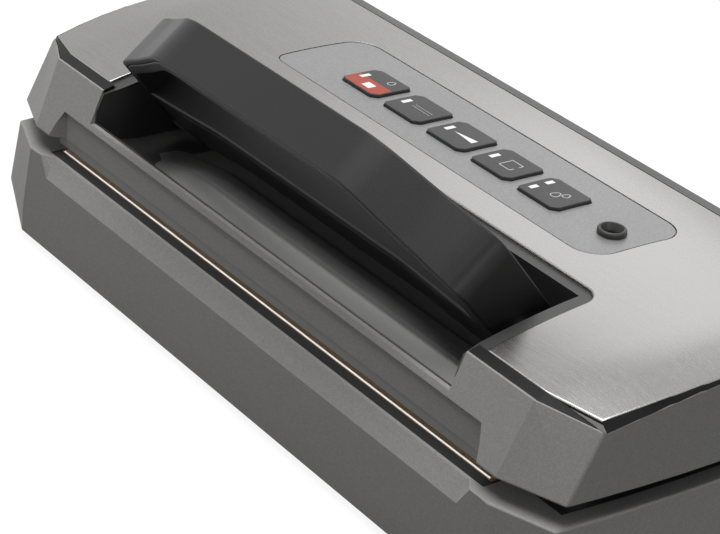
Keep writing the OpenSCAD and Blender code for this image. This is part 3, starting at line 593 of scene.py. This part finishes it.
# the tip is the last key's back right corner, and the key's middle lies this far to the left of it and in front
TIP_LEFT, TIP_FRONT = 11, 10.7
KEY_X = [KEY_TIP[0] - TIP_LEFT - (KEY_N - k) * KEY_PITCH for k in range(1, KEY_N + 1)]
KEY_Y = KEY_TIP[1] - TIP_FRONT
PORT, PORT_HOLE_R, WINDOW_GAP, PANEL_GAP, PANEL_DROP = (100.3, 21.9), 5.2, 0.3, 0.3, 0.2


def key_outline(grow=0.0):
    """A key's edge: a rectangle with two large and two small slanted corners, anticlockwise."""
    w, d, large, small = KEY_W + 2 * grow, KEY_D + 2 * grow, 3.0, 1.2
    corners = np.array([[small, 0], [w - large, 0], [w, large], [w, d - small], [w - small, d], [large, d],
                        [0, d - large], [0, small]])
    return softened(corners - [w / 2, d / 2], KEY_SOFT, 4)


windows = [spaced(key_outline(WINDOW_GAP) + [x, KEY_Y], 5.0) for x in KEY_X]
windows.append(arc(*PORT, PORT_HOLE_R, 0, 350, 36))
panel = sheet_solid("panel", spaced(panel_outline(-PANEL_GAP), 6.0), windows, lambda x, y: steel_z(x, y) - PANEL_DROP,
                    thickness=0.9, radius=0.15, material=film, step=7.0, arc_steps=2)
place(panel, "lid", "panel_film", "control_panel")

# ---------------------------------------------------------------------------------------------------------------------
# Keys. Five moulded caps in dark grey with flakes in the plastic, a soft edge, and light printed signs and lamps.
key_grey = finish_of("key_grey", flake, (0.045, 0.045, 0.046), 0.48, specular=0.2, bump=0.3, Cells=2400.0,
                     Sparkle=0.6)
key_print = finish_of("key_print", grain, (0.72, 0.72, 0.72), 0.5, Scale=900.0, Mottle=0.1)
key_faint = finish_of("key_faint", grain, (0.42, 0.42, 0.42), 0.5, Scale=900.0, Mottle=0.1)
key_red = finish_of("key_red", flake, (0.30, 0.050, 0.030), 0.46, specular=0.2, Cells=2400.0, Sparkle=0.3)


def key_top(x, y):
    """A key's face: a cylinder that follows the crown, a little above it."""
    return crown(y) + KEY_RISE


STROKE, LAMP_LIFT, SIGN_LIFT, FIELD_LIFT = 0.5, 0.05, 0.06, 0.03


def strip(a, b):
    """A straight stroke from a to b as four corners."""
    a, b = np.array(a, float), np.array(b, float)
    side = np.array([a[1] - b[1], b[0] - a[0]]) / np.linalg.norm(b - a) * STROKE / 2
    return [a - side, b - side, b + side, a + side]


def box_of(x0, y0, x1, y1):
    """An upright rectangle as four corners."""
    return [(x0, y0), (x1, y0), (x1, y1), (x0, y1)]


def drop_of(cx, cy, r):
    """The outline of a drop as short strokes: a circle drawn out to a tip at the back."""
    a = np.radians(np.linspace(0, 360, 17))
    reach = r * (1 + 0.75 * np.maximum(0, np.cos(a - np.radians(90)))**6)
    points = np.stack([cx + reach * np.cos(a), cy + reach * np.sin(a)], 1)
    return [strip(p, q) for p, q in zip(points, points[1:])]


def print_piece(name, shapes, key, material, lift):
    """Printed shapes: each polygon is laid on the key's face and lifted by a hair."""
    verts, faces = [], []
    for shape in shapes:
        start = len(verts)
        shape = np.array(shape, float) + [KEY_X[key], KEY_Y]
        z = key_top(shape[:, 0], shape[:, 1]) + lift
        verts += np.column_stack([shape, z]).tolist()
        faces.append(list(range(start, start + len(shape))))
    mesh = bpy.data.meshes.new(name)
    mesh.from_pydata((np.array(verts) * MM).tolist(), [], faces)
    mesh.materials.append(material)
    return in_scene(name, mesh)


dashes = [strip((x, y), (x + 0.55, y)) for x in np.arange(-3.2, 9.0, 1.15) for y in (-1.0, 1.0)]
wedge = [[(-4.5, -0.6), (9.0, -1.9), (9.0, 1.9)]]
open_square = [strip(a, b) for a, b in [((-1, -4), (-1, 4)), ((-1, 4), (6, 4)), ((-1, -4), (6, -4)),
                                        ((6, 4), (6, 1.5)), ((6, -4), (6, -1.5))]]
# for each key from the left, its bold shapes and its faint ones
signs = [([box_of(-1.4, -7.9, 4.2, -3.3)], drop_of(4.5, 4.8, 1.6)), ([], dashes), (wedge, []), ([], open_square),
         ([], drop_of(2.0, -1.8, 1.9) + drop_of(5.2, 1.6, 1.5))]
LAMP_LEFT, LAMP_RIGHT = -9.6, -7.2
lamps = [[box_of(LAMP_LEFT, -3.0, LAMP_RIGHT, 2.6)]] * 4
lamps.append([box_of(LAMP_LEFT, -7.0, LAMP_RIGHT, -2.4), box_of(LAMP_LEFT, 2.2, LAMP_RIGHT, 6.8)])
for k in range(KEY_N):
    cap = sheet_solid(f"key_cap_{k + 1}", spaced(key_outline() + [KEY_X[k], KEY_Y], 4.0), [], key_top, thickness=5.6,
                      radius=0.45, material=key_grey, step=4.0, arc_steps=3)
    place(cap, f"key_{k + 1}", "key_plastic", f"key_{k + 1}")
    bold, faint = signs[k]
    marks = print_piece(f"key_lamp_{k + 1}", lamps[k] + bold, k, key_print, LAMP_LIFT)
    place(marks, f"key_{k + 1}", "key_plastic")
    if faint:
        sign = print_piece(f"key_sign_{k + 1}", faint, k, key_faint, SIGN_LIFT)
        place(sign, f"key_{k + 1}", "key_plastic")
# the red field covers the front half of the first key: the key's own edge there, closed by a straight line
red_loop = key_outline(-0.5)
front = red_loop[:, 1] < -0.5
red_loop = np.roll(red_loop, -np.flatnonzero(front & ~np.roll(front, 1))[0], 0)[:front.sum()]
red_loop = np.concatenate([red_loop, [[11.95, -0.3], [-11.95, -0.3]]])
red_half = print_piece("key_stop_field", [red_loop], 0, key_red, FIELD_LIFT)
place(red_half, "key_1", "key_plastic")

# ---------------------------------------------------------------------------------------------------------------------
# Port. A turned collar of olive-grey plastic with a conical mouth, where the tube for containers plugs in.
port_olive = finish_of("port_olive", grain, (0.045, 0.0455, 0.042), 0.4, specular=0.2, bump=0.2, Scale=1500.0,
                       Mottle=0.25)


def turned(name, profile, centre, material, n=72):
    """A profile of (radius, height) pairs turned round an upright axis and closed on itself."""
    profile = np.asarray(profile, float)
    a = np.linspace(0, 2 * np.pi, n, endpoint=False)
    x = centre[0] + profile[:, 0][:, None] * np.cos(a)
    y = centre[1] + profile[:, 0][:, None] * np.sin(a)
    z = np.repeat(profile[:, 1][:, None], n, 1)
    verts = np.stack([x, y, z], 2).reshape(-1, 3)
    m = len(profile)
    faces = [((i % m) * n + j, (i % m) * n + (j + 1) % n, ((i + 1) % m) * n + (j + 1) % n, ((i + 1) % m) * n + j)
             for i in range(m) for j in range(n)]
    return solid_piece(name, verts, faces, material)


rim = softened([[1.5, 86], [3, 86], [3, 92], [5.1, 92], [5.1, 105.35], [6.4, 105.35], [6.4, 107.2], [5.8, 107.9],
                [5.0, 107.9], [3.4, 104.5], [3.4, 100], [1.5, 99]],
               [0.2, 0.2, 0.2, 0.2, 0.1, 0.3, 0.6, 0.6, 0.5, 0.8, 0.2, 0.2], 4)
collar = turned("port_collar", rim, PORT, port_olive)
place(collar, "lid", "port", "port_fitting")

# ---------------------------------------------------------------------------------------------------------------------
# Handle. A bail of two charcoal shells pressed together, so that a fine seam runs round its front and back edges; the
# root bar closes the ring and sits on the hub that turns in the recess.
charcoal = finish_of("handle_charcoal", grain, (0.012, 0.0118, 0.0118), 0.40, Scale=1100.0, Mottle=0.6, bump=0.8,
                     bump_mm=0.04, specular=0.22)
hub_black = finish_of("hub_black", grain, (0.017, 0.017, 0.0175), 0.36, Scale=1500.0, Mottle=0.3, bump=0.3)
PIVOT = np.array([0.0, -40.0, 87.0])
LEAN = np.radians(40)
OUTER = [[118, -9], [123.5, -2], [123.5, 11.5], [122.8, 28], [122.5, 40], [120, 46], [113, 50.8], [96, 60.3],
         [67, 78.6]]
OUTER_CUT = [1, 2, 3, 3, 3, 3, 3.5, 5, 10]
RING = [[123.2, 17.9], [122.8, 28], [122.5, 40], [120, 46], [113, 50.8], [96, 60.3], [67, 78.6]]
RING_IN = [[118.0, 17.9], [116.4, 28], [115, 34.5], [112.4, 39.5], [106.5, 43.6], [91, 52.3], [64, 69.6]]
RING_CUT = [1, 3, 3, 3, 3.5, 5, 10]
SHELL_T = 3.2


def along(points, cuts, n=7):
    """An open path over the handle, right to left: the half path, its mirror image, and soft bends between."""
    half = np.asarray(points, float)
    full = np.concatenate([half, half[::-1] * [-1, 1]])
    cuts = np.concatenate([cuts, cuts[::-1]]).astype(float)
    inner = full[1:-1]
    before, after = full[:-2] - inner, full[2:] - inner
    la, lb = np.linalg.norm(before, axis=1), np.linalg.norm(after, axis=1)
    cut = np.minimum(cuts[1:-1], np.minimum(la, lb) * 0.48)[:, None]
    a, b = inner + before / la[:, None] * cut, inner + after / lb[:, None] * cut
    t = np.linspace(0, 1, n)[None, :, None]
    curve = (1 - t)**2 * a[:, None] + 2 * t * (1 - t) * inner[:, None] + t**2 * b[:, None]
    return np.concatenate([full[:1], curve.reshape(-1, 2), full[-1:]])


def outward(path):
    """Unit normals of an open path, on its left-hand side turned outwards."""
    d = np.gradient(path, axis=0)
    normal = np.stack([d[:, 1], -d[:, 0]], 1)
    return normal / np.linalg.norm(normal, axis=1)[:, None]


def front_of(x):
    """How far the bail's front edge stands before the pivot, against distance from the middle."""
    return np.interp(np.abs(x), [0, 67, 120, 123.6], [11.3, 11.3, 14.4, 13.0])


def back_of(x):
    """How far the bail's back edge stands behind the pivot."""
    return np.interp(np.abs(x), [0, 67, 123.6], [12.4, 12.4, 13.4])


def in_handle(x, t, s):
    """Points given across, to the front and out from the pivot, turned by the handle's lean."""
    y = PIVOT[1] - s * np.sin(LEAN) - t * np.cos(LEAN)
    z = PIVOT[2] + s * np.cos(LEAN) - t * np.sin(LEAN)
    return np.stack([np.broadcast_to(x, y.shape), y, z], -1)


def round_section(front_out, front_in, back_in, back_out, n=5):
    """A closed section as (side, distance from that side, depth share, depth offset): a rectangle from the outer face
    (share 0) to the inner face (share 1) whose four corners have their own radii."""
    rows = []
    for side, share, r, a0 in (("f", 0, front_out, 90), ("f", 1, front_in, 0), ("b", 1, back_in, 0),
                               ("b", 0, back_out, 90)):
        a = np.radians(np.linspace(0, 90, n))
        order = a if (side, share) in (("f", 1), ("b", 0)) else a[::-1]
        for q in order:
            away, deep = r * (1 - np.cos(q)), r * (1 - np.sin(q))
            rows.append((side, away, share, deep if share == 0 else -deep))
    return rows


def skin(name, rings, material, angle=40.0):
    """Sections of equal length joined into a tube with both ends closed."""
    m, n = rings.shape[:2]
    j = np.arange(n)
    faces = np.concatenate([np.stack([i * n + j, i * n + (j + 1) % n, (i + 1) * n + (j + 1) % n, (i + 1) * n + j], 1)
                            for i in range(m - 1)]).tolist()
    faces += [list(range(n)), [(m - 1) * n + k for k in range(n)][::-1]]
    return solid_piece(name, rings.reshape(-1, 3), faces, material, angle)


def bail(outer, inner, section):
    """Carries a section along two paths at once: its depth share runs from the outer path to the inner one."""
    deep = inner - outer
    unit = deep / np.linalg.norm(deep, axis=1)[:, None]
    rings = []
    for side, away, share, offset in section:
        p = outer + deep * share + unit * offset
        t = front_of(p[:, 0]) - away if side == "f" else away - back_of(p[:, 0])
        rings.append(in_handle(p[:, 0], t, p[:, 1]))
    return np.stack(rings, 1)


crest = along(OUTER, OUTER_CUT)
shell_out = bail(crest, crest - outward(crest) * SHELL_T, round_section(1.1, 0.7, 0.7, 1.1))
handle_skin = skin("handle_skin", shell_out, charcoal)
place(handle_skin, "handle", "handle_plastic", "handle_outer_shell")
ring_crest = along(RING, RING_CUT)
ring_inner = along(RING_IN, RING_CUT)
ring_outer = ring_crest - outward(ring_crest) * (SHELL_T + 0.1)
liner_skin = skin("handle_liner", bail(ring_outer, ring_inner, round_section(0.7, 1.6, 1.6, 0.7)), charcoal)
place(liner_skin, "handle", "handle_plastic", "handle_inner_shell")


STRAIGHT_HALF = 96


def bar(name, half, s0, s1, radii, material, rise=0.0, limit=99.0):
    """A bar across the handle between two distances from the pivot, with its own corner radii; its outer face rises
    beyond the straight part, and a limit holds it back to a slot's width."""
    x = np.concatenate([[-half], np.linspace(-STRAIGHT_HALF, STRAIGHT_HALF, 25), [half]])
    rings = []
    for side, away, share, offset in round_section(*radii):
        top_s = s1 + rise * np.clip((np.abs(x) - STRAIGHT_HALF) / 20, 0, 1)
        s = top_s + (s0 - top_s) * share - offset
        reach = np.minimum(front_of(x), limit) if side == "f" else np.minimum(back_of(x), limit - 0.6)
        t = reach - away if side == "f" else away - reach
        rings.append(in_handle(x, t, s))
    return skin(name, np.stack(rings, 1), material, 50.0)


root_bar = bar("handle_root", half=118.6, s0=17.8, s1=21.2, radii=(1.4, 0.8, 0.8, 1.4), material=charcoal, rise=1.6)
place(root_bar, "handle", "handle_plastic")
hub = bar("handle_hub_cover", half=120.0, s0=-9, s1=17.7, radii=(1.0, 2.5, 2.5, 1.0), material=hub_black, limit=13.2)
place(hub, "handle", "handle_plastic", "handle_hub")

# ---------------------------------------------------------------------------------------------------------------------
# Recess floor. The front part of the black recess, a hump that rises from the lip, passes under the handle and
# falls away again towards the hub. Its light grey metallic colour is painted sheen on the black moulding. It comes
# here because it has to stay clear of the handle's swing.
FOLD_DEGREES, SWING_GAP, SWING_REACH, RECESS_FLOOR, UNDERSIDE = 42.0, 0.9, 2, 66.6, 66
LIP_Y, LIP_CLEAR_Y, CREST_Y, HUMP_END = -79.5, -78, -59, -46
CREST_Z, HUMP_CURVE, FALL_MIDDLE, FALL_HALF = 77.5, 0.0165, 73.65, 3.85
COVE_X, COVE_WIDTH, COVE_R, LEFT_END, LEFT_RUN, BACK_Y = 126, 5.2, 4, -112, 42, -24
low_floor = RECESS_FLOOR - 0.3
reach = np.concatenate([np.linspace(LIP_Y, CREST_Y, 16), np.linspace(CREST_Y + 1, HUMP_END, 12), [-35, BACK_Y]])
fall = np.cos(np.pi * np.clip((reach - CREST_Y) / (HUMP_END - CREST_Y), 0, 1))
hump = np.where(reach < CREST_Y, CREST_Z - HUMP_CURVE * (reach - CREST_Y)**2, FALL_MIDDLE + FALL_HALF * fall)
# behind the lip it stays under everything that the handle sweeps through as it folds forwards
swinging = (handle_skin, liner_skin, root_bar, hub)
moving = np.concatenate([[v.co[:] for v in piece.data.vertices] for piece in swinging])[:, 1:] / MM - PIVOT[1:]
swept = []
for turn in np.radians(np.arange(0, FOLD_DEGREES + 0.1, 1.5)):
    swept.append(moving @ [[np.cos(turn), np.sin(turn)], [-np.sin(turn), np.cos(turn)]] + PIVOT[1:])
swept = np.concatenate(swept)
for k, y in enumerate(reach):
    if y > LIP_CLEAR_Y:
        hump[k] = min(hump[k], swept[abs(swept[:, 0] - y) < SWING_REACH, 1].min() - SWING_GAP)
hump = np.maximum(hump, low_floor)
end_steps = np.array([0, 1, 2.5, 4, COVE_WIDTH]) + COVE_X
rings = []
for x in np.concatenate([-end_steps[::-1], np.linspace(-120, 120, 17), end_steps]):
    # the hump and its painted sheen run out towards the left end, where the deep black part of the recess is left open
    full = np.clip((x - LEFT_END) / LEFT_RUN, 0, 1)
    full = full * full * (3 - 2 * full)
    cove = np.clip(x - COVE_X, 0, COVE_WIDTH)**2 / (2 * COVE_R)
    heights = np.r_[low_floor + (hump - low_floor) * full + cove, UNDERSIDE, UNDERSIDE]
    rings.append(np.column_stack([np.full(len(heights), x), np.r_[reach, BACK_Y, LIP_Y], heights]))
# painted sheen: the same black moulding as the recess, coloured light grey so that it shows reflected light
recess_painted_sheen = finish_of("recess_painted_sheen", grain, (0.19, 0.188, 0.186), 0.42, metallic=0.6, Scale=1500.0, Mottle=0.2,
                         bump=0.6, bump_mm=0.03)
ramp = skin("recess_floor", np.stack(rings), recess_painted_sheen, 30.0)
place(ramp, "lid", "inner_plastic")

# ---------------------------------------------------------------------------------------------------------------------
# Sealing parts. A flat resistance wire under a strip of brown PTFE tape on a heat-proof bar, foam gaskets round the
# vacuum trough, and a silicone strip in the lid that presses the bag on to the wire.
wire_bright = finish_of("wire_bright", brush, (0.95, 0.91, 0.84), 0.38, metallic=0.6, bump=0.05, Contrast=0.1)
tape_brown = finish_of("tape_brown", grain, (0.40, 0.23, 0.09), 0.45, Scale=700.0, Mottle=0.5, bump=0.5)
foam = finish_of("foam_black", grain, (0.022, 0.022, 0.022), 0.85, Scale=700.0, Mottle=0.6, bump=0.9, bump_mm=0.1)
silicone = finish_of("silicone_grey", grain, (0.16, 0.158, 0.155), 0.5, Scale=900.0, Mottle=0.3, bump=0.3)
rubber = finish_of("rubber_black", grain, (0.02, 0.02, 0.02), 0.7, Scale=900.0, Mottle=0.3, bump=0.4)


def ribbon(name, half, y, z, width, height, material, n=9):
    """A straight strip with a domed top: half an ellipse carried along X."""
    a = np.linspace(0, np.pi, n)
    section = np.stack([y - width / 2 * np.cos(a), z + height * np.sin(a)], 1)
    rings = np.stack([np.column_stack([np.full(n, x), section]) for x in np.linspace(-half, half, 9)])
    return skin(name, rings, material, 50.0)


BAR_TOP = 51.4
wire_strip = ribbon("wire_strip", half=159.7, y=-83.6, z=BAR_TOP, width=1.7, height=0.9, material=wire_bright)
place(wire_strip, "base", "heating_wire", "heating_wire")
tape_strip = ribbon("tape_strip", half=160.6, y=-81.0, z=BAR_TOP, width=3.4, height=1.0, material=tape_brown)
place(tape_strip, "base", "release_tape")
dress(tape_brown, "release_tape")
dress(foam, "lower_gasket", "upper_gasket")
dress(silicone, "pressure_strip")
dress(rubber, "foot_front_left", "foot_front_right", "foot_back_left", "foot_back_right")

# ---------------------------------------------------------------------------------------------------------------------
# Works inside. Zinc-plated and turned steel parts, the laminated iron of the transformer, green boards, a brass crank,
# clear hoses and the red plunger of the lid switch.
zinc = finish_of("zinc_steel", brush, (0.62, 0.62, 0.64), 0.34, metallic=1.0, Contrast=0.2)
iron = finish_of("iron_core", grain, (0.10, 0.095, 0.09), 0.6, metallic=0.5, Scale=500.0, Mottle=0.4)
board_green = finish_of("board_green", grain, (0.02, 0.12, 0.05), 0.4, Scale=600.0, Mottle=0.3)
brass = finish_of("brass", brush, (0.75, 0.55, 0.22), 0.3, metallic=1.0, Contrast=0.2)
hose_clear = finish_of("hose_clear", grain, (0.72, 0.70, 0.65), 0.4, Scale=300.0, Mottle=0.1)
red_plastic = finish_of("red_plastic", grain, (0.45, 0.03, 0.02), 0.4, Scale=900.0, Mottle=0.2)
dress(zinc, "bottom_screws", "liner_screws", "pump_motor", "lock_catch_left", "lock_catch_right", "hinge_pin_left",
      "hinge_pin_right", "handle_shaft", "lock_hook_left", "lock_hook_right")
dress(iron, "transformer")
dress(board_green, "power_board", "key_board")
dress(brass, "pump_crank")
dress(hose_clear, "vacuum_hose", "accessory_hose")
dress(red_plastic, "switch_plunger")
